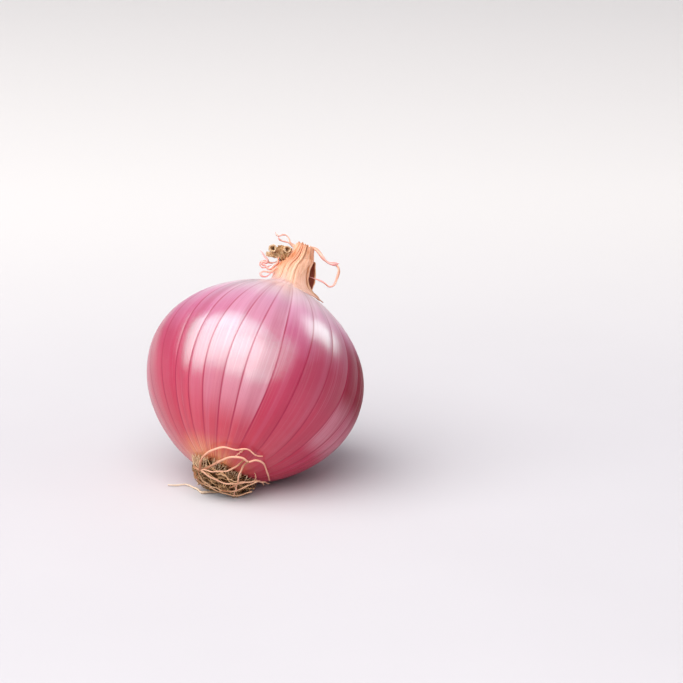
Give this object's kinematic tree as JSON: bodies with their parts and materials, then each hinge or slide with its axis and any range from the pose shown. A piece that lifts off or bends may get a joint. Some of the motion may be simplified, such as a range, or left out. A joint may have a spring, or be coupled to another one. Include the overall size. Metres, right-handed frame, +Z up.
{
  "type": "onion",
  "caption": "Whole red onion with pink ribbed skin, dry peach neck with curled shreds, a rolled dead leaf and a mat of dry roots, lying on its belly",
  "frame": {"origin": "centre of the small flat spot on the belly that the onion rests on, at table height", "axes": "+Z up. The onion's own axis lies in the XZ plane and leans 36.5 degrees from upright, with the neck toward +X and up and the roots toward -X and down"},
  "size_m": [0.0665, 0.07, 0.0742],
  "materials": {
    "bulb_skin": "waxy papery skin, pink with fine meridian streaks and darker veins, soft gloss",
    "neck_skin": "dry papery peach skin with orange streaks, matte satin",
    "dead_leaf": "dry khaki leaf with dark folds, matte",
    "root_fibre": "dry straw-coloured root fibre, darker in the gaps, matte"
  },
  "bodies": {
    "root": {"bulb": "bulb_skin", "neck": "neck_skin", "leaf_roll": "dead_leaf", "roots": "root_fibre"}
  },
  "joints": []
}
